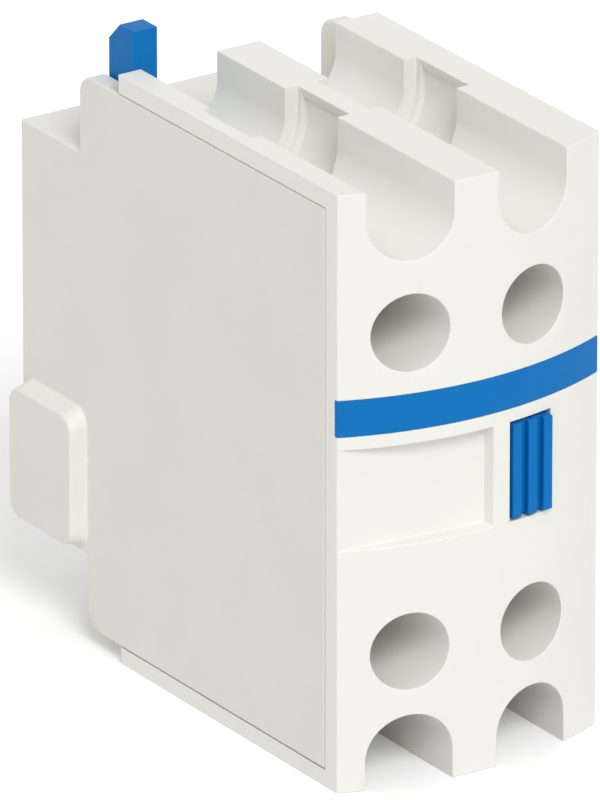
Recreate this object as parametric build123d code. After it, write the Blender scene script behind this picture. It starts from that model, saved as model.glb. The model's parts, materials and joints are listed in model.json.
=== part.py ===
from build123d import *
import math
import os

# Two-pole auxiliary contact block, 48 mm high, in millimetres.
# x runs across the block from its middle, z up from its underside.
# y runs from the front corner edges, at 0, to the mounting face at the rear.
# Last of all, every piece moves along y to put the origin under the middle of the block.

# Whole block
width = 23.4
height = 48.0
depth = 43.0
bulge = 2.5

# Clearances: seams between fixed pieces, faces that press together, sliding pieces, threads
seam = 0.1
touch = 0.02
slide_gap = 0.2
thread_gap = 0.05

# How far a cut runs past the face that it opens
past = 1.0

# Walls beside and between the two poles, and the screws' distance from the top and the underside
left_wall = 2.05
middle_wall = 3.9
right_wall = 3.85
screw_drop = 11.5
screw_rise = 10.9

# Front housing
housing_depth = 29.5
front_wall = 1.2
channel_depth = 5.75
pocket_front = 13.2
pocket_length = 7.0
pocket_widen = 1.1
pocket_lip = 0.9
pocket_undercut = 0.5
well_side_wall = 0.4
access_side_wall = 0.32

# Colour band and label recess in the bowed front
band_bottom = 28.7
band_height = 2.94
band_thick = 0.4
panel_z = 23.6
panel_height = 8.05
label_to_window = 1.535
label_depth = 1.3

# Slider window and the carrier's ribbed head
window_width = 4.05
window_shift = -0.25
window_gap = 0.25
collar_wall = 0.9
collar_end = 5.0
head_proud = 0.3
rib_count = 3
rib_width = 0.8
rib_height = 0.6

# Rear casing
cheek_thick = 1.2
cheek_front = 1.63
cheek_top_drop = 1.5
cheek_bottom_rise = 1.3
casing_wall = 1.6
casing_top_drop = 8.0
casing_bottom_rise = 7.4
top_ear_length = 5.37
bottom_ear_length = 4.56
ear_radius = 1.6
lug_inset = 0.4
lug_length = 8.54
lug_rise = 0.35
lug_height = 11.49
lug_proud = 1.54
lug_radius = 1.3
lug_slope = 0.49
tab_front = 23.0
tab_length = 3.0
tab_height = 1.4
tab_proud = 0.5

# Terminals
strip_front = 17.6
strip_thick = 1.2
strip_outer_gap = 0.1
screw_radius = 1.75
screw_past = 1.6
screw_point = 0.4
head_gap = 0.18
head_height = 2.2
head_round = 0.5
head_slot = 0.9
head_slot_end = 0.7
head_slot_depth = 1.2
washer_front = 11.4
washer_thick = 1.0
washer_side_gap = 0.3
washer_end_gap = 0.15
saddle_lip = 0.5
saddle_lip_thick = 0.6

# Contacts
stroke = 4.0
over_travel = 1.0
bridge_thick = 0.8
bridge_margin = 0.2
bridge_corner = 0.65
bridge_side_gap = 0.15
bridge_end_room = 1.0
tip_side = 0.5
tip_height = 2.6
tip_thick = 0.6
tip_inset = 0.4

# Contact carrier
stem_side_gap = 0.25
stem_half_height = 2.8
stem_strip_gap = 0.4
stem_inset = 0.2
cage_wall = 1.3
cage_side_wall = 1.0
cage_rear_wall = 2.0
crossbar_half_height = 2.2
crossbar_depth = 6.0
claw_wall = 0.95
claw_height = 3.2
claw_depth = 3.5
claw_undercut = 1.0
claw_step = 1.7

# Springs and what they sit on
contact_spring_gap = 0.3
contact_spring_wire = 0.2
contact_spring_coils = 4.5
contact_spring_length = 4.6
return_spring_gap = 0.25
return_spring_wire = 0.22
return_spring_coils = 13.0
boss_margin = 0.2
boss_length = 8.4
peg_gap = 0.2
peg_length = 3.0
sleeve_wall = 1.0
sleeve_length = 5.4

# Latch slide and its spring
latch_gap = 0.6
latch_width = 2.15
latch_depth = 3.45
latch_proud = 2.8
latch_chamfer = 1.5
latch_travel = 2.6
foot_width = 3.6
foot_drop = 13.5
foot_height = 2.0
collar_height = 2.2
tooth_drop = 9.5
tooth_height = 3.5
tooth_inset = 0.4
latch_spring_radius = 1.5
latch_spring_wire = 0.2
latch_spring_coils = 9.0
pillar_height = 7.0
pillar_margin = 0.1

# Heights and widths that follow
half = width / 2
channel_width = (width - left_wall - middle_wall - right_wall) / 2
half_channel = channel_width / 2
mid_z = (height - screw_drop + screw_rise) / 2
screw_reach = (height - screw_drop - screw_rise) / 2
no_x = left_wall + half_channel - half
nc_x = half - right_wall - half_channel
pole_shift = (no_x + nc_x) / 2
poles = {"no": no_x, "nc": nc_x}
sides = {"upper": 1, "lower": -1}
washer_size = channel_width - 2 * washer_side_gap
access_radius = half_channel - access_side_wall
head_radius = access_radius - head_gap
cavity_reach = screw_reach + washer_size / 2 + washer_end_gap
partition_reach = screw_reach - washer_size / 2 - washer_end_gap
strip_inner = stem_half_height + stem_strip_gap
tip_z = strip_inner + tip_inset + tip_height / 2
bridge_half = tip_z + tip_height / 2 + bridge_margin
bridge_room = bridge_half + bridge_end_room
stem_half_width = half_channel - stem_side_gap
bridge_width = 2 * (stem_half_width - cage_side_wall - bridge_side_gap)
claw_width = 2 * (stem_half_width - claw_wall - claw_undercut)
window_x = nc_x + window_shift
label_end = window_x - window_width / 2 - label_to_window
bow_radius = (half**2 + bulge**2) / (2 * bulge)
casing_top = height - casing_top_drop
casing_ceiling = casing_top - casing_wall
casing_floor = casing_bottom_rise + casing_wall

# Places along y that follow
strip_rear = strip_front + strip_thick
screw_length = strip_rear + screw_past - washer_front
washer_room_front = washer_front - slide_gap
well_front = washer_front + washer_thick + saddle_lip + seam
no_bridge_front = strip_front - 2 * tip_thick - (stroke - over_travel) - touch - bridge_thick
nc_bridge_front = strip_rear + 2 * tip_thick + touch
no_cage_stop = no_bridge_front + bridge_thick + touch
no_cage_seat = no_bridge_front - contact_spring_length
nc_cage_stop = nc_bridge_front - over_travel - touch
nc_cage_seat = nc_bridge_front + bridge_thick + contact_spring_length
crossbar_front = no_cage_seat
crossbar_rear = crossbar_front + crossbar_depth
rear_wall_front = depth - casing_wall
stem_end = depth - stroke - stem_inset
boss_front = rear_wall_front - boss_length
sleeve_front = rear_wall_front - sleeve_length
lug_front = depth - lug_inset - lug_length

# Springs and latch that follow
contact_spring_radius = bridge_width / 2 - contact_spring_gap
return_spring_radius = middle_wall / 2 - return_spring_gap
return_peg = return_spring_radius - 2 * return_spring_wire - peg_gap
latch_peg = latch_spring_radius - 2 * latch_spring_wire - peg_gap
latch_x = casing_wall + slide_gap - half
latch_front = housing_depth + latch_gap
latch_rear = latch_front + latch_depth
foot_bottom = casing_top - foot_drop
tooth_bottom = casing_top - tooth_drop
pillar_top = casing_floor + pillar_height
latch_spring_x = latch_x + foot_width / 2
latch_spring_y = (latch_front + latch_rear) / 2


def block(x0, x1, y0, y1, z0, z1):
    """A box between two corners."""
    middle = Pos((x0 + x1) / 2, (y0 + y1) / 2, (z0 + z1) / 2)
    return middle * Box(abs(x1 - x0), abs(y1 - y0), abs(z1 - z0))


def rod(x, z, y0, y1, radius):
    """A round bar along y."""
    return Pos(x, (y0 + y1) / 2, z) * Rot(90, 0, 0) * Cylinder(radius, y1 - y0)


def post(x, y, z0, z1, radius):
    """A round bar along z."""
    return Pos(x, y, (z0 + z1) / 2) * Cylinder(radius, z1 - z0)


def from_mid(sign, near, far):
    """The lower and upper z of a span on one side of the mechanism's mid height."""
    return sorted((mid_z + sign * near, mid_z + sign * far))


def around(x, z, x_reach, z_reach, y0, y1):
    """A bar of rectangular section along y, around a middle line."""
    return block(x - x_reach, x + x_reach, y0, y1, z - z_reach, z + z_reach)


def rear_edge(piece, up):
    """The edge along x at the rear of a block, at its top (up 1) or its bottom (up -1)."""
    return piece.edges().filter_by(Axis.X).sort_by(lambda e: e.center().Y + up * e.center().Z)[-1]


def front_y(x):
    """Where the bowed front face lies at x."""
    return bow_radius - bulge - math.sqrt(bow_radius**2 - x**2)


def bowed(inset, back, z0, z1):
    """A block with the bowed front, set back by an inset, from its front to a straight back."""
    bow = ThreePointArc((-half, inset), (0, inset - bulge), (half, inset))
    rest = Polyline((half, inset), (half, back), (-half, back), (-half, inset))
    return Pos(0, 0, z0) * extrude(make_face(Curve() + [bow, rest]), z1 - z0)


def bowed_skin(thick, z0, z1):
    """The outer skin of the bowed front, between two heights."""
    return bowed(0.0, depth, z0, z1) - bowed(thick, depth + past, z0, z1)


def channel(x, sign, widen, y0, y1, out):
    """A round-bottomed channel in the top (sign 1) or the underside (-1), cut past that face by out."""
    radius = half_channel + widen
    edge = height if sign > 0 else 0.0
    centre = edge - sign * (channel_depth - half_channel)
    slot = rod(x, centre, y0, y1, radius) + block(x - radius, x + radius, y0, y1, centre, edge + sign * out)
    inner = half - cheek_thick
    return slot & block(-inner, inner, y0, y1, -2 * past, height + 2 * past)


def coil(length, outer, wire, coils):
    """A compression spring along z, from 0 to its length."""
    rise = length - 2 * wire
    path = Helix(rise / coils, rise, outer - wire)
    section = Plane(origin=path @ 0, z_dir=path % 0) * Circle(wire)
    return Pos(0, 0, wire) * sweep(section, path)


def along_y(x, z, y0, piece):
    """Lays a piece that was made along z down along y, starting at y0."""
    return Pos(x, y0, z) * Rot(-90, 0, 0) * piece


def cheek(side, gap, back):
    """The flat block that a cheek fills, or with no gap, the pocket that holds it."""
    z0 = cheek_bottom_rise + gap
    z1 = height - cheek_top_drop - gap
    return block(side * half, side * (half - cheek_thick), cheek_front + gap, back, z0, z1)


def tabs(side, gap):
    """The two snap tabs inside a cheek, or with a gap, the notches that they enter."""
    inner = side * (half - cheek_thick)
    tip = inner - side * (tab_proud + gap)
    y0 = tab_front - gap
    y1 = tab_front + tab_length + gap
    reach = tab_height / 2 + gap
    top_floor = (height - channel_depth + mid_z + cavity_reach) / 2
    bottom_floor = (channel_depth + mid_z - cavity_reach) / 2
    return [block(inner, tip, y0, y1, z - reach, z + reach) for z in (top_floor, bottom_floor)]


def pole_rooms(x):
    """The hollow of one pole: the bridge's room, the washers' rooms and the space behind the strips."""
    x0 = x - half_channel
    x1 = x + half_channel
    rooms = [around(x, mid_z, half_channel, bridge_room, front_wall, housing_depth)]
    for sign in sides.values():
        z0, z1 = from_mid(sign, partition_reach, cavity_reach)
        rooms.append(block(x0, x1, washer_room_front, housing_depth, z0, z1))
        z0, z1 = from_mid(sign, strip_inner, cavity_reach)
        rooms.append(block(x0, x1, strip_front, housing_depth, z0, z1))
    return rooms


def terminal_cuts(x, sign):
    """The channel, its pocket, the wire well and the screwdriver hole of one terminal."""
    y1 = pocket_front + pocket_length
    under = pocket_widen + pocket_undercut
    edge = height if sign > 0 else 0.0
    room_end = mid_z + sign * (cavity_reach - touch)
    channel_middle = edge - sign * (channel_depth - half_channel)
    x_reach = half_channel - well_side_wall
    return [
        channel(x, sign, 0.0, -bulge - past, housing_depth + past, past),
        channel(x, sign, pocket_widen, pocket_front, y1, past),
        channel(x, sign, under, pocket_front + pocket_undercut, y1 - pocket_undercut, -pocket_lip),
        block(x - x_reach, x + x_reach, well_front, strip_front - seam, room_end, channel_middle),
        rod(x, mid_z + sign * screw_reach, -bulge - past, washer_room_front + touch, access_radius),
    ]


def window(wall, y0, y1):
    """The window that the carrier's head slides in, or with a wall, the collar behind it."""
    return around(window_x, panel_z, window_width / 2 + wall, panel_height / 2 + wall, y0, y1)


def label_cut():
    """The recess for a label, flat inside, that starts at the left corner edge."""
    floor = front_y(label_end) + label_depth
    out_x = -half - past
    out_y = -bulge - past
    corners = [(out_x, 0), (-half, 0), (label_end, floor), (label_end, out_y), (out_x, out_y)]
    outline = make_face(Polyline(*corners, close=True))
    return Pos(0, 0, panel_z - panel_height / 2) * extrude(outline, panel_height)


def front_housing():
    """The pale front moulding that holds the terminals and the contacts."""
    body = bowed(0.0, housing_depth, 0.0, height)
    for side in (-1, 1):
        body -= cheek(side, 0.0, housing_depth + past)
        body -= tabs(side, seam)
    for x in poles.values():
        body -= pole_rooms(x)
        for sign in sides.values():
            body -= terminal_cuts(x, sign)
    slot_reach = crossbar_half_height + slide_gap
    slot_front = crossbar_front - slide_gap
    body -= block(no_x, nc_x, slot_front, housing_depth, mid_z - slot_reach, mid_z + slot_reach)
    body += window(collar_wall, front_wall, collar_end)
    body -= window(0.0, -bulge - past, collar_end + past)
    body -= colour_band()
    body -= label_cut()
    return body


def colour_band():
    """The blue inlay across the front."""
    return bowed_skin(band_thick, band_bottom, band_bottom + band_height)


def ears(side):
    """The ends of one cheek behind the housing, above and below the casing's box."""
    outer = side * half
    inner = side * (half - casing_wall)
    z1 = height - cheek_top_drop - seam
    z0 = cheek_bottom_rise + seam
    top = block(outer, inner, housing_depth, housing_depth + top_ear_length, casing_ceiling, z1)
    bottom = block(outer, inner, housing_depth, housing_depth + bottom_ear_length, z0, casing_floor)
    return [fillet(rear_edge(top, 1), ear_radius), fillet(rear_edge(bottom, -1), ear_radius)]


def lug(side):
    """The lug on one side, sloped above and below, which slides into a groove of the device behind."""
    z = casing_bottom_rise + lug_rise + lug_height / 2
    base = Plane(origin=(side * half, lug_front + lug_length / 2, z), x_dir=(0, 1, 0), z_dir=(side, 0, 0))
    foot = base * RectangleRounded(lug_length, lug_height, lug_radius)
    tip = base.offset(lug_proud) * RectangleRounded(lug_length, lug_height - 2 * lug_slope, lug_radius)
    return loft([foot, tip], ruled=True)


def drive_window(wall, y0, y1):
    """The rear window of the carrier's stem, or with a wall, the sleeve that guides it."""
    gap = slide_gap + wall
    return around(nc_x, mid_z, stem_half_width + gap, stem_half_height + gap, y0, y1)


def latch_openings():
    """The hole in the top deck for the latch's post and the slot in the rear wall for its tooth."""
    x0 = latch_x - slide_gap
    x1 = latch_x + latch_width + slide_gap
    z0 = tooth_bottom - latch_travel - slide_gap
    z1 = tooth_bottom + tooth_height + slide_gap
    y0 = latch_front - slide_gap
    y1 = latch_rear + slide_gap
    return [
        block(x0, x1, y0, y1, casing_ceiling - past, casing_top + past),
        block(x0, x1, rear_wall_front - past, depth + past, z0, z1),
    ]


def rear_casing():
    """The rear moulding: box, cheeks, ears and lugs."""
    inner = half - casing_wall
    body = block(-half, half, housing_depth, depth, casing_bottom_rise, casing_top)
    body -= block(-inner, inner, housing_depth - past, rear_wall_front, casing_floor, casing_ceiling)
    for side in (-1, 1):
        body += cheek(side, seam, housing_depth)
        body += ears(side)
        body += tabs(side, 0.0)
        body += lug(side)
    body += rod(pole_shift, mid_z, boss_front, rear_wall_front, return_spring_radius + boss_margin)
    body += rod(pole_shift, mid_z, boss_front - peg_length, boss_front, return_peg)
    body += drive_window(sleeve_wall, sleeve_front, rear_wall_front)
    body -= drive_window(0.0, sleeve_front - past, depth + past)
    pillar_radius = latch_spring_radius + pillar_margin
    body += post(latch_spring_x, latch_spring_y, casing_floor, pillar_top, pillar_radius)
    body += post(latch_spring_x, latch_spring_y, pillar_top, pillar_top + peg_length, latch_peg)
    body -= latch_openings()
    return body


def latch_slide():
    """The blue bar that is pressed down to let the block off the device behind."""
    x1 = latch_x + latch_width
    foot_x1 = latch_x + foot_width
    collar_top = casing_ceiling - slide_gap
    bar = block(latch_x, x1, latch_front, latch_rear, foot_bottom, height + latch_proud)
    bar = chamfer(rear_edge(bar, 1), latch_chamfer)
    bar += block(latch_x, foot_x1, latch_front, latch_rear, foot_bottom, foot_bottom + foot_height)
    bar += block(latch_x, foot_x1, latch_front, latch_rear, collar_top - collar_height, collar_top)
    bar += block(latch_x, x1, latch_front, depth - tooth_inset, tooth_bottom, tooth_bottom + tooth_height)
    return bar


def latch_spring():
    """The spring under the latch slide's foot."""
    spring = coil(foot_bottom - pillar_top, latch_spring_radius, latch_spring_wire, latch_spring_coils)
    return Pos(latch_spring_x, latch_spring_y, pillar_top) * spring


def ribbed_head():
    """The head that shows in the front window, with upright ribs."""
    x_reach = window_width / 2 - window_gap
    z_reach = panel_height / 2 - window_gap
    face = front_y(window_x) - head_proud + rib_height
    head = around(window_x, panel_z, x_reach, z_reach, face, collar_end + 2 * touch)
    step = (2 * x_reach - rib_width) / (rib_count - 1)
    for i in range(rib_count):
        middle = window_x - x_reach + rib_width / 2 + i * step
        head += around(middle, panel_z, rib_width / 2, z_reach, face - rib_height, face)
    return head


def claw_slot():
    """The stepped slot in the stem's end that the moving part of the device behind hooks into."""
    y0 = stem_end - claw_depth
    wide = claw_width / 2 + claw_undercut
    return [
        around(nc_x, mid_z, claw_width / 2, claw_height / 2, y0, stem_end + past),
        around(nc_x, mid_z, wide, claw_height / 2, y0, y0 + claw_step),
    ]


def contact_carrier():
    """The blue moulding that moves both bridges: head, stem, crossbar and cage."""
    room = bridge_width / 2 + bridge_side_gap
    tall = stem_half_height + past
    cage_front = no_cage_seat - cage_wall
    cage_rear = no_cage_stop + cage_rear_wall
    body = around(nc_x, mid_z, stem_half_width, stem_half_height, collar_end + touch, stem_end)
    body += around(no_x, mid_z, stem_half_width, stem_half_height, cage_front, cage_rear)
    bar_reach = (nc_x - no_x) / 2 - stem_half_width
    body += around(pole_shift, mid_z, bar_reach, crossbar_half_height, crossbar_front, crossbar_rear)
    body += rod(pole_shift, mid_z, crossbar_rear, crossbar_rear + peg_length, return_peg)
    body -= around(no_x, mid_z, room, tall, no_cage_seat, no_cage_stop)
    body -= around(nc_x, mid_z, room, tall, nc_cage_stop, nc_cage_seat)
    body -= claw_slot()
    return body + ribbed_head()


def bridge(name):
    """A contact bridge, which joins the two strips of its pole."""
    y0 = no_bridge_front if name == "no" else nc_bridge_front
    plate = around(poles[name], mid_z, bridge_width / 2, bridge_half, y0, y0 + bridge_thick)
    return fillet(plate.edges().filter_by(Axis.Y), bridge_corner)


def contact_tip(name, sign, y0):
    """A silver contact tip that starts at y0."""
    x_reach = bridge_width / 2 - tip_side
    return around(poles[name], mid_z + sign * tip_z, x_reach, tip_height / 2, y0, y0 + tip_thick)


def moving_tip(name, sign):
    """A tip on a bridge, on the side that faces its strip."""
    if name == "no":
        return contact_tip(name, sign, no_bridge_front + bridge_thick)
    return contact_tip(name, sign, nc_bridge_front - tip_thick)


def fixed_tip(name, sign):
    """A tip on a strip, on the side that faces its bridge."""
    if name == "no":
        return contact_tip(name, sign, strip_front - tip_thick)
    return contact_tip(name, sign, strip_rear)


def terminal_strip(name, sign):
    """A flat strip, tapped for the terminal's screw."""
    x = poles[name]
    x_reach = half_channel - thread_gap
    z0, z1 = from_mid(sign, strip_inner + touch, cavity_reach - strip_outer_gap)
    plate = block(x - x_reach, x + x_reach, strip_front, strip_rear, z0, z1)
    z = mid_z + sign * screw_reach
    return plate - rod(x, z, strip_front - past, strip_rear + past, screw_radius + thread_gap)


def terminal_screw(name, sign):
    """A terminal screw with a cross slot."""
    x = poles[name]
    z = mid_z + sign * screw_reach
    head_front = washer_front - head_height
    slot_floor = head_front + head_slot_depth
    long_reach = head_radius - head_slot_end
    head = rod(x, z, head_front, washer_front, head_radius)
    head = fillet(head.edges().sort_by(Axis.Y)[0], head_round)
    head -= around(x, z, long_reach, head_slot / 2, head_front - past, slot_floor)
    head -= around(x, z, head_slot / 2, long_reach, head_front - past, slot_floor)
    shank = rod(x, z, washer_front, washer_front + screw_length, screw_radius)
    return head + chamfer(shank.edges().sort_by(Axis.Y)[-1], screw_point)


def saddle_washer(name, sign):
    """A square washer under the screw's head, with a lip at each side that keeps the wire in."""
    x = poles[name]
    z = mid_z + sign * screw_reach
    reach = washer_size / 2
    plate_rear = washer_front + washer_thick
    lip_rear = plate_rear + saddle_lip
    body = around(x, z, reach, reach, washer_front, plate_rear)
    for side in (-1, 1):
        middle = x + side * (reach - saddle_lip_thick / 2)
        body += around(middle, z, saddle_lip_thick / 2, reach, plate_rear, lip_rear)
    return body - rod(x, z, washer_front - past, lip_rear + past, screw_radius + thread_gap)


def contact_spring(name):
    """The spring that presses a bridge towards its strips."""
    y0 = no_cage_seat if name == "no" else nc_bridge_front + bridge_thick
    spring = coil(contact_spring_length, contact_spring_radius, contact_spring_wire, contact_spring_coils)
    return along_y(poles[name], mid_z, y0, spring)


def return_spring():
    """The spring that pushes the carrier forward."""
    length = boss_front - crossbar_rear
    spring = coil(length, return_spring_radius, return_spring_wire, return_spring_coils)
    return along_y(pole_shift, mid_z, crossbar_rear, spring)


def pieces():
    """Every piece of the block, by name."""
    made = {
        "front_housing": front_housing(),
        "rear_casing": rear_casing(),
        "colour_band": colour_band(),
        "contact_carrier": contact_carrier(),
        "return_spring": return_spring(),
        "latch_slide": latch_slide(),
        "latch_spring": latch_spring(),
    }
    for name in poles:
        made[f"{name}_bridge"] = bridge(name)
        made[f"{name}_contact_spring"] = contact_spring(name)
        for place, sign in sides.items():
            made[f"{name}_moving_tip_{place}"] = moving_tip(name, sign)
            made[f"{name}_fixed_tip_{place}"] = fixed_tip(name, sign)
            made[f"{name}_strip_{place}"] = terminal_strip(name, sign)
            made[f"{name}_screw_{place}"] = terminal_screw(name, sign)
            made[f"{name}_washer_{place}"] = saddle_washer(name, sign)
    return made


os.makedirs("parts", exist_ok=True)
to_origin = Pos(0, (bulge - depth) / 2, 0)
for node, piece in pieces().items():
    export_step(to_origin * piece, f"parts/{node}.step")
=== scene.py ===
import json
import math

import bpy
import numpy as np
from bpy.props import FloatProperty, FloatVectorProperty, IntProperty, PointerProperty
from bpy.types import Operator, Panel, PropertyGroup
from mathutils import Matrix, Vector


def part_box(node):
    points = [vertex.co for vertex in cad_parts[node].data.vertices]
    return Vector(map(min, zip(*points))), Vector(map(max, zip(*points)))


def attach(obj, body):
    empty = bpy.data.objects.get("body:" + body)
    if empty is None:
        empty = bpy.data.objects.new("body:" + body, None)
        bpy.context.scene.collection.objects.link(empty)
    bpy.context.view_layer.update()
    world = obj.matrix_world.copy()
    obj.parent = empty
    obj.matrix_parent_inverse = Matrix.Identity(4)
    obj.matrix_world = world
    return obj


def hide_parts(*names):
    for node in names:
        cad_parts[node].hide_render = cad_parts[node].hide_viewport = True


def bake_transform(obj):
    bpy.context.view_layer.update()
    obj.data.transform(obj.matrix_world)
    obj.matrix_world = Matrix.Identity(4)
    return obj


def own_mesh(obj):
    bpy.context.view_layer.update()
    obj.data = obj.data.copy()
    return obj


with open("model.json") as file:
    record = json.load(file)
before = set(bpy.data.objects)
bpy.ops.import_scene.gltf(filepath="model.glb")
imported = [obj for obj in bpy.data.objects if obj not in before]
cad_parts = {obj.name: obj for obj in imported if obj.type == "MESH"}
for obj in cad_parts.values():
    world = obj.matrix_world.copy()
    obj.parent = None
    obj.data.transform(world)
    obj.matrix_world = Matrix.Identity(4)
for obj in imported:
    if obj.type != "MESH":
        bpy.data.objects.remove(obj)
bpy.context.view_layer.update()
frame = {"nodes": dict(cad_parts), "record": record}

bl_info = {
    "name": "Contact block",
    "version": (1, 0, 0),
    "blender": (4, 5, 0),
    "location": "View3D > Sidebar > Contact block",
    "description": "Dresses a two-pole auxiliary contact block and its studio",
    "category": "Object",
}

MM = 0.001
POLES = ("no", "nc")
SIDES = ("upper", "lower")
Y_AXIS = Vector((0, 1, 0))
Z_AXIS = Vector((0, 0, 1))
SLOT_COLORS = {m["slot"]: m["base_color"] for m in frame["record"]["materials"]}
WHITE = (1.0, 1.0, 1.0)

WELD_GAP = 0.002 * MM
FLAT_ANGLE = math.radians(1.5)
SPLIT_CORNERS = 5
ROUNDED_ANGLE = math.radians(34)
CREASE_ANGLE = math.radians(40)
AXIS_RADIUS = 0.02 * MM


def color_property(name, description, default):
    """A colour that the user can change."""
    return FloatVectorProperty(
        name=name, description=description, subtype="COLOR", size=3, min=0.0, max=1.0, default=default
    )


def length_property(name, description, default):
    """A length in metres that the user can change."""
    return FloatProperty(
        name=name, description=description, unit="LENGTH", min=0.0, precision=5, default=default
    )


class MouldingSettings(PropertyGroup):
    """Colours and surface of the plastic pieces."""

    housing_color: color_property("Housing", "Colour of the front housing", (0.86, 0.855, 0.8))
    casing_color: color_property("Casing", "Colour of the rear casing", (0.81, 0.8, 0.735))
    blue_color: color_property(
        "Blue pieces", "Colour of the band, the carrier and the latch slide", (0.0, 0.168, 0.5)
    )
    edge_radius: length_property("Edge radius", "Radius on the edges of the rear casing", 0.16 * MM)
    fine_edge_radius: length_property(
        "Fine edge radius", "Radius on the edges of the other mouldings", 0.1 * MM
    )
    lip_radius: length_property("Lip radius", "Radius on the thin lips inside the mouldings", 0.045 * MM)
    grain_size: length_property("Grain size", "Size of the fine grain that the mould leaves", 0.16 * MM)
    grain_depth: length_property("Grain depth", "Depth of the fine grain", 0.006 * MM)
    roughness: FloatProperty(
        name="Roughness", description="Mean roughness of the plastic", min=0.0, max=1.0, default=0.46
    )
    pale_gloss: FloatProperty(
        name="Pale gloss", description="Specular level of the pale plastic", min=0.0, max=1.0, default=0.28
    )
    blue_gloss: FloatProperty(
        name="Blue gloss", description="Specular level of the blue plastic", min=0.0, max=1.0, default=0.15
    )


class MetalSettings(PropertyGroup):
    """Colours and edges of the metal pieces."""

    copper_color: color_property(
        "Strips and bridges", "Colour of the copper alloy", SLOT_COLORS["contact_copper"]
    )
    silver_color: color_property("Contact tips", "Colour of the silver tips", SLOT_COLORS["silver"])
    zinc_color: color_property(
        "Screws and washers", "Colour of the zinc plating", SLOT_COLORS["plated_steel"]
    )
    wire_color: color_property("Springs", "Colour of the spring wire", SLOT_COLORS["spring_steel"])
    edge_radius: length_property("Edge radius", "Radius on the edges of the stamped pieces", 0.09 * MM)


class ScrewSettings(PropertyGroup):
    """Sizes of the terminal screws."""

    shank_radius: length_property("Shank radius", "Radius over the crests of the thread", 1.75 * MM)
    thread_pitch: length_property("Thread pitch", "Distance between two crests", 0.6 * MM)
    thread_depth: length_property("Thread depth", "Height of the thread", 0.3 * MM)
    head_height: length_property("Head height", "Height of the head", 2.2 * MM)
    head_round: length_property("Head rounding", "Radius on the rim of the head", 0.5 * MM)
    recess_width: length_property("Recess width", "Width of an arm of the cross recess", 0.95 * MM)
    recess_reach: length_property("Recess reach", "Reach of an arm of the cross recess", 2.1 * MM)
    recess_depth: length_property("Recess depth", "Depth of the cross recess", 1.3 * MM)
    edge_radius: length_property("Edge radius", "Radius on the edges of a screw", 0.02 * MM)


class SpringSettings(PropertyGroup):
    """Sizes of the wire springs."""

    thin_wire: length_property("Thin wire", "Wire radius of the contact and latch springs", 0.2 * MM)
    return_wire: length_property("Return wire", "Wire radius of the return spring", 0.22 * MM)
    contact_turns: FloatProperty(
        name="Contact turns", description="Turns of a contact spring", min=2.0, default=4.5
    )
    return_turns: FloatProperty(
        name="Return turns", description="Turns of the return spring", min=2.0, default=13.0
    )
    latch_turns: FloatProperty(
        name="Latch turns", description="Turns of the latch spring", min=2.0, default=9.0
    )
    closed_turns: FloatProperty(
        name="Closed turns", description="Turns that lie closed at each end", min=0.0, default=0.9
    )
    sides: IntProperty(name="Wire sides", description="Sides of the wire's section", min=6, default=12)


class StageSettings(PropertyGroup):
    """Floor, lights and camera."""

    floor_color: color_property("Floor", "Colour of the floor", (0.82, 0.82, 0.82))
    floor_glow: FloatProperty(
        name="Floor glow", description="What the floor lacks to show as white", min=0.0, default=0.13
    )
    floor_size: length_property("Floor size", "Side of the square floor", 6.0)
    room_light: FloatProperty(
        name="Room light", description="Strength of the even light", min=0.0, default=0.66
    )
    key_light: FloatProperty(
        name="Key light", description="Strength of the main lamp", min=0.0, default=1.4
    )
    key_softness: FloatProperty(
        name="Key softness",
        description="Angle that the main lamp covers",
        subtype="ANGLE",
        default=math.radians(24),
    )
    key_direction: FloatVectorProperty(
        name="Key direction",
        description="Where the main lamp stands",
        subtype="DIRECTION",
        default=(-0.24, -0.7, 0.67),
    )
    azimuth: FloatProperty(
        name="Azimuth",
        description="Angle of the camera round the block",
        subtype="ANGLE",
        default=math.radians(-33.7),
    )
    elevation: FloatProperty(
        name="Elevation",
        description="Angle of the camera over the floor",
        subtype="ANGLE",
        default=math.radians(22.47),
    )
    distance: length_property("Distance", "Distance of the camera", 1.255)
    aim: FloatVectorProperty(
        name="Aim",
        description="Point that the camera looks at",
        subtype="TRANSLATION",
        unit="LENGTH",
        default=(-1.48 * MM, 0.02 * MM, 22.46 * MM),
    )
    lens: FloatProperty(name="Lens", description="Focal length in millimetres", min=1.0, default=750.0)


def add_node(tree, kind, **settings):
    """A shader node with its properties and sockets set; a socket's name has underscores for spaces."""
    node = tree.nodes.new(kind)
    for key, value in settings.items():
        socket = node.inputs.get(key.replace("_", " "))
        if socket is None:
            setattr(node, key, value)
        elif hasattr(value, "links"):
            tree.links.new(value, socket)
        else:
            socket.default_value = value
    return node


def new_material(name):
    """An empty node material with its Principled shader."""
    material = bpy.data.materials.new(name)
    material.use_nodes = True
    return material, material.node_tree, material.node_tree.nodes["Principled BSDF"]


def noise(tree, size, detail=2.0, stretch=None):
    """Noise with features of a size in metres, over the piece's own coordinates."""
    place = add_node(tree, "ShaderNodeTexCoord").outputs["Object"]
    if stretch:
        place = add_node(tree, "ShaderNodeMapping", Vector=place, Scale=stretch).outputs["Vector"]
    texture = add_node(tree, "ShaderNodeTexNoise", Vector=place, Scale=1.0 / size, Detail=detail)
    return texture.outputs["Fac"]


def between(tree, value, low, high):
    """The middle of a noise's span, spread from low to high."""
    dark_noise, light_noise = 0.3, 0.7
    spread = add_node(tree, "ShaderNodeMapRange", Value=value)
    spread.inputs["From Min"].default_value = dark_noise
    spread.inputs["From Max"].default_value = light_noise
    spread.inputs["To Min"].default_value = low
    spread.inputs["To Max"].default_value = high
    return spread.outputs["Result"]


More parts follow.
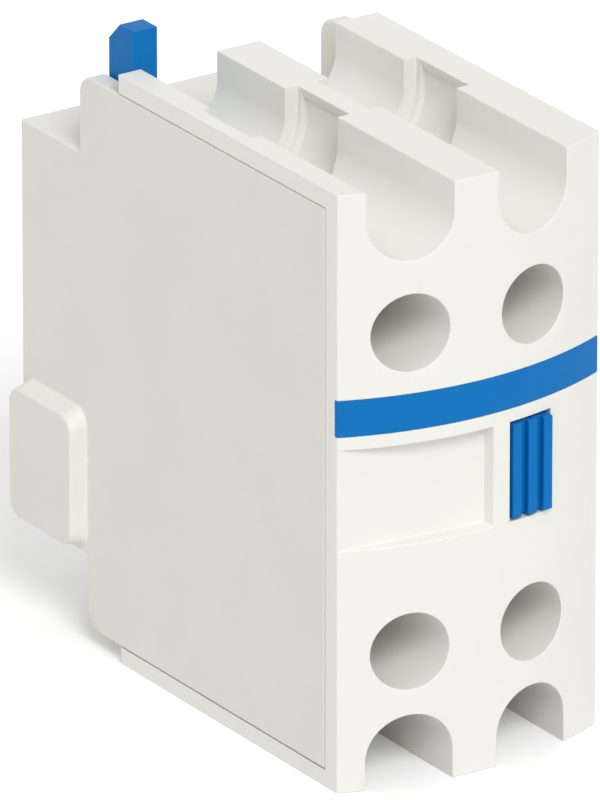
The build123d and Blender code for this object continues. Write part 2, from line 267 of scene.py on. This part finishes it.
def color_mix(tree, first, second, share):
    """A colour between two, by the share of the second."""
    share_socket, first_socket, second_socket, result_socket = 0, 6, 7, 2
    mix = add_node(tree, "ShaderNodeMix", data_type="RGBA")
    mix.inputs[first_socket].default_value = [*first, 1.0]
    mix.inputs[second_socket].default_value = [*second, 1.0]
    tree.links.new(share, mix.inputs[share_socket])
    return mix.outputs[result_socket]


def tinted(tree, shader, color, value, change):
    """Varies the base colour round its own tone."""
    dark = [c * (1 - change) for c in color]
    light = [min(c * (1 + change), 1.0) for c in color]
    tone = color_mix(tree, dark, light, between(tree, value, 0.0, 1.0))
    tree.links.new(tone, shader.inputs["Base Color"])


def embossed(tree, shader, height, depth, below=None):
    """Raises the surface by a height map; below is a normal to add it to."""
    bump = add_node(tree, "ShaderNodeBump", Height=height, Distance=depth)
    if below:
        tree.links.new(below, bump.inputs["Normal"])
    tree.links.new(bump.outputs["Normal"], shader.inputs["Normal"])
    return bump.outputs["Normal"]


def moulded_plastic(name, color, gloss_level, settings):
    """Satin plastic with a fine grain, a slight waviness and a slight mottle."""
    mottle_size, mottle_change = 7 * MM, 0.012
    gloss_size, gloss_change = 1.2 * MM, 0.05
    wave_size, wave_depth = 9 * MM, 0.03 * MM
    material, tree, shader = new_material(name)
    tinted(tree, shader, color, noise(tree, mottle_size, detail=4.0), mottle_change)
    smoothest, roughest = settings.roughness - gloss_change, settings.roughness + gloss_change
    gloss = between(tree, noise(tree, gloss_size), smoothest, roughest)
    tree.links.new(gloss, shader.inputs["Roughness"])
    wave = embossed(tree, shader, noise(tree, wave_size, detail=1.0), wave_depth)
    embossed(tree, shader, noise(tree, settings.grain_size), settings.grain_depth, wave)
    shader.inputs["IOR"].default_value = 1.5
    shader.inputs["Specular IOR Level"].default_value = gloss_level
    return material


def rolled_metal(name, color, roughness, streak):
    """Metal strip with fine streaks; streak is what each axis is multiplied by, small along the streaks."""
    cloud_size, cloud_change = 2.5 * MM, 0.06
    streak_width, streak_depth = 0.12 * MM, 0.004 * MM
    smoothest, roughest = roughness - 0.07, roughness + 0.09
    material, tree, shader = new_material(name)
    shader.inputs["Metallic"].default_value = 1.0
    tinted(tree, shader, color, noise(tree, cloud_size, detail=3.0), cloud_change)
    streaks = noise(tree, streak_width, detail=3.0, stretch=streak)
    tree.links.new(between(tree, streaks, smoothest, roughest), shader.inputs["Roughness"])
    embossed(tree, shader, streaks, streak_depth)
    return material


def plated_metal(name, color, roughness):
    """Plated steel with a slightly uneven bright coat."""
    cloud_size, cloud_change = 1.1 * MM, 0.07
    gloss_size = 0.5 * MM
    pit_size, pit_depth = 0.3 * MM, 0.0012 * MM
    smoothest, roughest = roughness - 0.06, roughness + 0.08
    material, tree, shader = new_material(name)
    shader.inputs["Metallic"].default_value = 1.0
    tinted(tree, shader, color, noise(tree, cloud_size, detail=4.0), cloud_change)
    gloss = between(tree, noise(tree, gloss_size, detail=3.0), smoothest, roughest)
    tree.links.new(gloss, shader.inputs["Roughness"])
    embossed(tree, shader, noise(tree, pit_size), pit_depth)
    return material


def geometry_group(name):
    """An empty geometry node group with its input and output nodes."""
    group = bpy.data.node_groups.new(name, "GeometryNodeTree")
    for way in ("INPUT", "OUTPUT"):
        group.interface.new_socket("Geometry", in_out=way, socket_type="NodeSocketGeometry")
    return group, group.nodes.new("NodeGroupInput"), group.nodes.new("NodeGroupOutput")


def edges_above(group, least_angle):
    """The edges at which the surface turns by more than an angle."""
    angle = group.nodes.new("GeometryNodeInputMeshEdgeAngle")
    above = group.nodes.new("FunctionNodeCompare")
    above.inputs["B"].default_value = least_angle
    group.links.new(angle.outputs["Unsigned Angle"], above.inputs["A"])
    return above.outputs["Result"]


def smooth_faces():
    """A node group that shades faces smoothly and keeps the creases between them sharp."""
    group, start, end = geometry_group("smooth_faces")
    plain = group.nodes.new("GeometryNodeRemoveAttribute")
    plain.inputs["Name"].default_value = "custom_normal"
    smooth = group.nodes.new("GeometryNodeSetShadeSmooth")
    sharp = group.nodes.new("GeometryNodeSetShadeSmooth")
    sharp.domain = "EDGE"
    sharp.inputs["Shade Smooth"].default_value = False
    link = group.links.new
    link(start.outputs["Geometry"], plain.inputs["Geometry"])
    link(plain.outputs["Geometry"], smooth.inputs["Geometry"])
    link(smooth.outputs["Geometry"], sharp.inputs["Geometry"])
    link(edges_above(group, CREASE_ANGLE), sharp.inputs["Selection"])
    link(sharp.outputs["Geometry"], end.inputs["Geometry"])
    return group


def edge_weights(name, lips, lip_share):
    """A node group that marks the edges to round; those between the two depths of lips get less."""
    group, start, end = geometry_group(name)
    place = group.nodes.new("GeometryNodeInputPosition")
    depth = group.nodes.new("ShaderNodeSeparateXYZ")
    on_lip = group.nodes.new("FunctionNodeCompare")
    on_lip.operation = "EQUAL"
    on_lip.inputs["B"].default_value = (lips[0] + lips[1]) / 2
    on_lip.inputs["Epsilon"].default_value = (lips[1] - lips[0]) / 2
    weight = group.nodes.new("GeometryNodeSwitch")
    weight.input_type = "FLOAT"
    weight.inputs["False"].default_value = 1.0
    weight.inputs["True"].default_value = lip_share
    store = group.nodes.new("GeometryNodeStoreNamedAttribute")
    store.domain = "EDGE"
    store.data_type = "FLOAT"
    store.inputs["Name"].default_value = "bevel_weight_edge"
    link = group.links.new
    link(start.outputs["Geometry"], store.inputs["Geometry"])
    link(edges_above(group, ROUNDED_ANGLE), store.inputs["Selection"])
    link(place.outputs["Position"], depth.inputs["Vector"])
    link(depth.outputs["Y"], on_lip.inputs["A"])
    link(on_lip.outputs["Result"], weight.inputs["Switch"])
    link(weight.outputs["Output"], store.inputs["Value"])
    link(store.outputs["Geometry"], end.inputs["Geometry"])
    return group


def break_edges(piece, radius, segments=3, lips=None, lip_radius=0.0):
    """Rounds a piece's sharp edges and shades its faces; between the two depths of lips it rounds less."""
    weld = piece.modifiers.new("joined", "WELD")
    weld.merge_threshold = WELD_GAP
    flat = piece.modifiers.new("whole_faces", "DECIMATE")
    flat.decimate_type = "DISSOLVE"
    flat.angle_limit = FLAT_ANGLE
    split = piece.modifiers.new("split_faces", "TRIANGULATE")
    split.min_vertices = SPLIT_CORNERS
    if lips:
        weights = piece.modifiers.new("edge_weights", "NODES")
        weights.node_group = edge_weights(f"{piece.name}_edges", lips, lip_radius / radius)
    edge = piece.modifiers.new("edge_radius", "BEVEL")
    edge.width = radius
    edge.segments = segments
    edge.limit_method = "WEIGHT" if lips else "ANGLE"
    edge.angle_limit = ROUNDED_ANGLE
    edge.use_clamp_overlap = False
    edge.loop_slide = False
    edge.miter_outer = "MITER_SHARP"
    shade = piece.modifiers.new("even_shading", "NODES")
    shade.node_group = bpy.data.node_groups.get("smooth_faces") or smooth_faces()
    normals = piece.modifiers.new("face_normals", "WEIGHTED_NORMAL")
    normals.keep_sharp = True


def opening_box(name):
    """The lowest and the highest corner of an opening that the record names."""
    openings = frame["record"]["physics"]["openings"]
    return [Vector(corner) for corner in next(o for o in openings if o["name"] == name)["box_m"]]


def dress(name, material, radius, **lips):
    """Gives a CAD node its material and its edge radius."""
    piece = frame["nodes"][name]
    piece.data.materials.clear()
    piece.data.materials.append(material)
    break_edges(piece, radius, **lips)


def new_piece(name, points, faces, material):
    """A mesh object in the block's own frame."""
    mesh = bpy.data.meshes.new(name)
    mesh.from_pydata([tuple(p) for p in points], [], faces)
    mesh.materials.append(material)
    mesh.shade_smooth()
    mesh.validate()
    piece = bpy.data.objects.new(name, mesh)
    bpy.context.scene.collection.objects.link(piece)
    return piece


def grid_faces(rows, columns):
    """Faces of a tube of rows of points, closed around and open at its ends."""
    return [
        (
            row * columns + i,
            row * columns + (i + 1) % columns,
            (row + 1) * columns + (i + 1) % columns,
            (row + 1) * columns + i,
        )
        for row in range(rows - 1)
        for i in range(columns)
    ]


def capped(rows, columns):
    """Faces of a tube with both of its ends closed."""
    last = (rows - 1) * columns
    return grid_faces(rows, columns) + [tuple(range(columns))[::-1], tuple(range(last, last + columns))]


def spring(name, node, axis, wire, turns, material, settings):
    """A compression spring with closed, ground ends, where its CAD node stands."""
    low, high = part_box(node)
    middle = (low + high) / 2
    length = (high - low).dot(axis)
    foot = middle - axis * length / 2
    across = Vector((1, 0, 0))
    other = axis.cross(across)
    radius = (high - low).dot(across) / 2 - wire
    closed = settings.closed_turns
    ground = 0.35 * wire
    closed_height = 2.1 * wire * closed
    rings_a_turn = 40
    count = int(turns * rings_a_turn) + 1
    turn = np.linspace(0.0, turns, count)
    knots = [0.0, closed, turns - closed, turns]
    height = np.interp(turn, knots, [ground, closed_height, length - closed_height, length - ground])
    points = []
    for t, h in zip(turn * 2 * math.pi, height):
        out = across * math.cos(t) + other * math.sin(t)
        for i in range(settings.sides):
            a = 2 * math.pi * i / settings.sides
            rise = min(max(h - wire * math.sin(a), 0.0), length)
            points.append(foot + out * (radius + wire * math.cos(a)) + axis * rise)
    piece = new_piece(name, points, capped(count, settings.sides), material)
    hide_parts(node)
    return piece, foot, foot + axis * length


def thread_profile(phase):
    """Share of the thread's height at a phase of its pitch, flat at its crests and roots."""
    flank, root = 2.2, 0.6
    return np.clip(flank * np.abs(2 * (phase % 1.0) - 1) - root, 0.0, 1.0)


def head_rings(radius, front, settings):
    """Radius and depth of each ring of a screw's head, from its front to its seat."""
    rim = settings.head_round
    rim_steps = 6
    chamfer = 0.12 * MM
    seat = front + settings.head_height
    rings = [(AXIS_RADIUS, front)]
    for i in range(rim_steps + 1):
        a = i / rim_steps * math.pi / 2
        rings.append((radius - rim + rim * math.sin(a), front + rim * (1 - math.cos(a))))
    return rings + [(radius, seat - chamfer), (radius - chamfer, seat)]


def thread_rings(angle, seat, tip, settings):
    """Radii all round and depth of each ring of a screw's thread, which runs out at both ends."""
    rings_a_pitch = 10
    neck = 0.05 * MM
    head_runout, tip_runout, tip_share = 0.9 * MM, 0.45 * MM, 0.05
    point_length, point_depth = 0.4 * MM, 0.35 * MM
    core = settings.shank_radius - settings.thread_depth
    rings = []
    for y in np.linspace(seat + neck, tip, int((tip - seat) / settings.thread_pitch * rings_a_pitch)):
        runout = max(0.0, min(1.0, (y - seat) / head_runout, (tip - y) / tip_runout + tip_share))
        share = runout * thread_profile(y / settings.thread_pitch - angle / (2 * math.pi))
        point = max(0.0, 1 - (tip - y) / point_length) * point_depth
        rings.append((core - point + settings.thread_depth * share, y))
    return rings


def screw(name, node, body, material, settings):
    """A terminal screw with a cross recess and a real thread."""
    low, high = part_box(node)
    middle = (low + high) / 2
    columns = 64
    angle = np.arange(columns) / columns * 2 * math.pi
    seat = low.y + settings.head_height
    core = settings.shank_radius - settings.thread_depth
    rings = [
        *head_rings((high.x - low.x) / 2, low.y, settings),
        (core, seat),
        *thread_rings(angle, seat, high.y, settings),
        (AXIS_RADIUS, high.y),
    ]
    points = [
        (middle.x + r * math.cos(a), y, middle.z - r * math.sin(a))
        for radii, y in rings
        for r, a in zip(np.broadcast_to(radii, columns), angle)
    ]
    piece = new_piece(name, points, capped(len(rings), columns), material)
    for turned in (False, True):
        carve(piece, recess_arm(middle, low.y, turned, material, settings))
    break_edges(piece, settings.edge_radius, segments=2)
    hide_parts(node)
    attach(piece, body)


def recess_arm(middle, front, turned, material, settings):
    """A tapered bar that cuts one arm of the cross recess."""
    proud = 0.3 * MM
    floor_reach, floor_width = settings.recess_reach * 0.6, settings.recess_width * 0.66
    points = []
    for y, reach, width in (
        (front - proud, settings.recess_reach, settings.recess_width),
        (front + settings.recess_depth, floor_reach, floor_width),
    ):
        for u, v in ((-1, -1), (-1, 1), (1, 1), (1, -1)):
            x, z = u * reach, v * width / 2
            if turned:
                x, z = -z, x
            points.append((middle.x + x, y, middle.z + z))
    return new_piece("recess_cutter", points, capped(2, 4), material)


def carve(piece, cutter):
    """Cuts one mesh out of another and drops the cutter."""
    cut = piece.modifiers.new("cut", "BOOLEAN")
    cut.object = cutter
    cut.solver = "EXACT"
    graph = bpy.context.evaluated_depsgraph_get()
    graph.update()
    mesh = bpy.data.meshes.new_from_object(piece.evaluated_get(graph))
    piece.modifiers.clear()
    piece.data = mesh
    bpy.data.objects.remove(cutter)


class CONTACTBLOCK_OT_pale_mouldings(Operator):
    """Finishes the front housing and the rear casing"""

    bl_idname = "contact_block.pale_mouldings"
    bl_label = "Pale mouldings"

    def execute(self, context):
        settings = context.scene.contact_block_mouldings
        housing = moulded_plastic("housing_plastic", settings.housing_color, settings.pale_gloss, settings)
        casing = moulded_plastic("casing_plastic", settings.casing_color, settings.pale_gloss, settings)
        before_washers, beside_spring = 0.25 * MM, 0.05 * MM
        clamp_room = (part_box("no_washer_upper")[0].y - before_washers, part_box("no_screw_upper")[1].y)
        rear_box = opening_box("between_top_ears")[1].y
        window_lip = (rear_box - beside_spring, rear_box + beside_spring)
        fine = settings.lip_radius
        dress("front_housing", housing, settings.fine_edge_radius, lips=clamp_room, lip_radius=fine)
        dress("rear_casing", casing, settings.edge_radius, lips=window_lip, lip_radius=fine)
        return {"FINISHED"}


class CONTACTBLOCK_OT_blue_mouldings(Operator):
    """Finishes the colour band, the contact carrier and the latch slide"""

    bl_idname = "contact_block.blue_mouldings"
    bl_label = "Blue mouldings"

    def execute(self, context):
        settings = context.scene.contact_block_mouldings
        blue = moulded_plastic("blue_plastic", settings.blue_color, settings.blue_gloss, settings)
        for name in ("colour_band", "contact_carrier", "latch_slide"):
            dress(name, blue, settings.fine_edge_radius)
        return {"FINISHED"}


class CONTACTBLOCK_OT_contacts(Operator):
    """Finishes the terminal strips, the bridges and the contact tips"""

    bl_idname = "contact_block.contacts"
    bl_label = "Contacts"

    def execute(self, context):
        settings = context.scene.contact_block_metals
        along = (1.0, 1.0, 0.06)
        copper = rolled_metal("contact_copper", settings.copper_color, roughness=0.3, streak=along)
        silver = rolled_metal("silver", settings.silver_color, roughness=0.26, streak=along)
        for pole in POLES:
            dress(f"{pole}_bridge", copper, settings.edge_radius)
            for side in SIDES:
                dress(f"{pole}_strip_{side}", copper, settings.edge_radius)
                dress(f"{pole}_moving_tip_{side}", silver, settings.edge_radius)
                dress(f"{pole}_fixed_tip_{side}", silver, settings.edge_radius)
        return {"FINISHED"}


class CONTACTBLOCK_OT_clamps(Operator):
    """Makes the terminal screws and finishes the saddle washers"""

    bl_idname = "contact_block.clamps"
    bl_label = "Screws and washers"

    def execute(self, context):
        metals = context.scene.contact_block_metals
        settings = context.scene.contact_block_screws
        zinc = plated_metal("plated_steel", metals.zinc_color, roughness=0.3)
        for pole in POLES:
            for side in SIDES:
                dress(f"{pole}_washer_{side}", zinc, metals.edge_radius)
                body = f"{pole}_{side}_screw"
                screw(f"{pole}_{side}_terminal_screw", f"{pole}_screw_{side}", body, zinc, settings)
        return {"FINISHED"}


class CONTACTBLOCK_OT_springs(Operator):
    """Winds the return spring, the latch spring and the contact springs"""

    bl_idname = "contact_block.springs"
    bl_label = "Springs"

    def execute(self, context):
        settings = context.scene.contact_block_springs
        steel = plated_metal("spring_steel", context.scene.contact_block_metals.wire_color, roughness=0.26)

        def flatten(piece):
            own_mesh(piece)

        def wind(name, node, axis, wire, turns):
            return spring(name, node, axis, wire, turns, steel, settings)

        thick, thin = settings.return_wire, settings.thin_wire
        wound, front, rear = wind("return_coil", "return_spring", Y_AXIS, thick, settings.return_turns)
        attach(wound, "root")
        flatten(wound)
        wound, foot, top = wind("latch_coil", "latch_spring", Z_AXIS, thin, settings.latch_turns)
        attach(wound, "root")
        flatten(wound)
        for pole in POLES:
            coil, node = f"{pole}_contact_coil", f"{pole}_contact_spring"
            wound, front, rear = wind(coil, node, Y_AXIS, thin, settings.contact_turns)
            if pole == "no":
                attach(wound, "carrier")
                flatten(wound)
            else:
                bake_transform(wound)
        return {"FINISHED"}


def seen_directly(tree):
    """1 for rays that show the background: from the camera, off gloss or through glass; 0 for light."""
    path = add_node(tree, "ShaderNodeLightPath")
    shown = path.outputs["Is Camera Ray"]
    for ray in ("Is Glossy Ray", "Is Transmission Ray"):
        larger = add_node(tree, "ShaderNodeMath", operation="MAXIMUM")
        tree.links.new(shown, larger.inputs[0])
        tree.links.new(path.outputs[ray], larger.inputs[1])
        shown = larger.outputs["Value"]
    return shown


def floor_material(color, glow):
    """A pale floor that shows as white outside the shadow."""
    material, tree, shader = new_material("studio_floor")
    seen = seen_directly(tree)
    tree.links.new(color_mix(tree, color, WHITE, seen), shader.inputs["Base Color"])
    lift = add_node(tree, "ShaderNodeMath", operation="MULTIPLY")
    tree.links.new(seen, lift.inputs[0])
    lift.inputs[1].default_value = glow
    shader.inputs["Emission Color"].default_value = (*WHITE, 1.0)
    tree.links.new(lift.outputs["Value"], shader.inputs["Emission Strength"])
    shader.inputs["Roughness"].default_value = 1.0
    shader.inputs["Specular IOR Level"].default_value = 0.0
    return material


def room(strength):
    """Even light from all round, which shows as white."""
    world = bpy.data.worlds.new("studio_room")
    bpy.context.scene.world = world
    world.use_nodes = True
    tree = world.node_tree
    level = add_node(tree, "ShaderNodeMapRange", Value=seen_directly(tree))
    level.inputs["To Min"].default_value = strength
    level.inputs["To Max"].default_value = 1.0
    sky = tree.nodes["Background"]
    sky.inputs["Color"].default_value = (*WHITE, 1.0)
    tree.links.new(level.outputs["Result"], sky.inputs["Strength"])


class CONTACTBLOCK_OT_stage(Operator):
    """Sets up the floor, the lights and the camera"""

    bl_idname = "contact_block.stage"
    bl_label = "Studio"

    def execute(self, context):
        scene = context.scene
        settings = scene.contact_block_stage
        scene.view_settings.view_transform = "Standard"
        room(settings.room_light)

        reach = settings.floor_size / 2
        corners = [(-reach, -reach, 0), (reach, -reach, 0), (reach, reach, 0), (-reach, reach, 0)]
        surface = floor_material(settings.floor_color, settings.floor_glow)
        new_piece("studio_floor", corners, [(0, 1, 2, 3)], surface)

        lamp = bpy.data.lights.new("key_light", "SUN")
        lamp.energy = settings.key_light
        lamp.angle = settings.key_softness
        key = bpy.data.objects.new("key_light", lamp)
        key.rotation_mode = "QUATERNION"
        key.rotation_quaternion = Vector(settings.key_direction).to_track_quat("Z", "Y")
        scene.collection.objects.link(key)

        azimuth, elevation = settings.azimuth, settings.elevation
        level = math.cos(elevation)
        back = Vector((math.sin(azimuth) * level, -math.cos(azimuth) * level, math.sin(elevation)))
        clip_ratio = 10
        data = bpy.data.cameras.new("photo_camera")
        data.lens = settings.lens
        data.clip_start = settings.distance / clip_ratio
        data.clip_end = settings.distance * clip_ratio
        camera = bpy.data.objects.new("photo_camera", data)
        camera.rotation_mode = "QUATERNION"
        camera.rotation_quaternion = back.to_track_quat("Z", "Y")
        camera.location = Vector(settings.aim) + back * settings.distance
        scene.collection.objects.link(camera)
        scene.camera = camera
        return {"FINISHED"}


OPERATORS = (
    CONTACTBLOCK_OT_pale_mouldings,
    CONTACTBLOCK_OT_blue_mouldings,
    CONTACTBLOCK_OT_contacts,
    CONTACTBLOCK_OT_clamps,
    CONTACTBLOCK_OT_springs,
    CONTACTBLOCK_OT_stage,
)
SETTINGS = {
    "contact_block_mouldings": MouldingSettings,
    "contact_block_metals": MetalSettings,
    "contact_block_screws": ScrewSettings,
    "contact_block_springs": SpringSettings,
    "contact_block_stage": StageSettings,
}


class CONTACTBLOCK_PT_panel(Panel):
    """Sizes, colours and steps of the contact block"""

    bl_label = "Contact block"
    bl_space_type = "VIEW_3D"
    bl_region_type = "UI"
    bl_category = "Contact block"

    def draw(self, context):
        for group in SETTINGS:
            box = self.layout.box()
            values = getattr(context.scene, group)
            for prop in values.bl_rna.properties:
                if prop.identifier not in ("rna_type", "name"):
                    box.prop(values, prop.identifier)
        for operator in OPERATORS:
            self.layout.operator(operator.bl_idname)


def register():
    """Makes the settings, the steps and the panel known."""
    for group, kind in SETTINGS.items():
        bpy.utils.register_class(kind)
        setattr(bpy.types.Scene, group, PointerProperty(type=kind))
    for kind in (*OPERATORS, CONTACTBLOCK_PT_panel):
        bpy.utils.register_class(kind)


def unregister():
    """Takes the panel, the steps and the settings away again."""
    for kind in reversed((*OPERATORS, CONTACTBLOCK_PT_panel)):
        bpy.utils.unregister_class(kind)
    for group, kind in SETTINGS.items():
        delattr(bpy.types.Scene, group)
        bpy.utils.unregister_class(kind)


def main():
    """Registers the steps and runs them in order."""
    register()
    bpy.ops.contact_block.pale_mouldings()
    bpy.ops.contact_block.blue_mouldings()
    bpy.ops.contact_block.contacts()
    bpy.ops.contact_block.clamps()
    bpy.ops.contact_block.springs()
    bpy.ops.contact_block.stage()


if __name__ == "__main__":
    main()
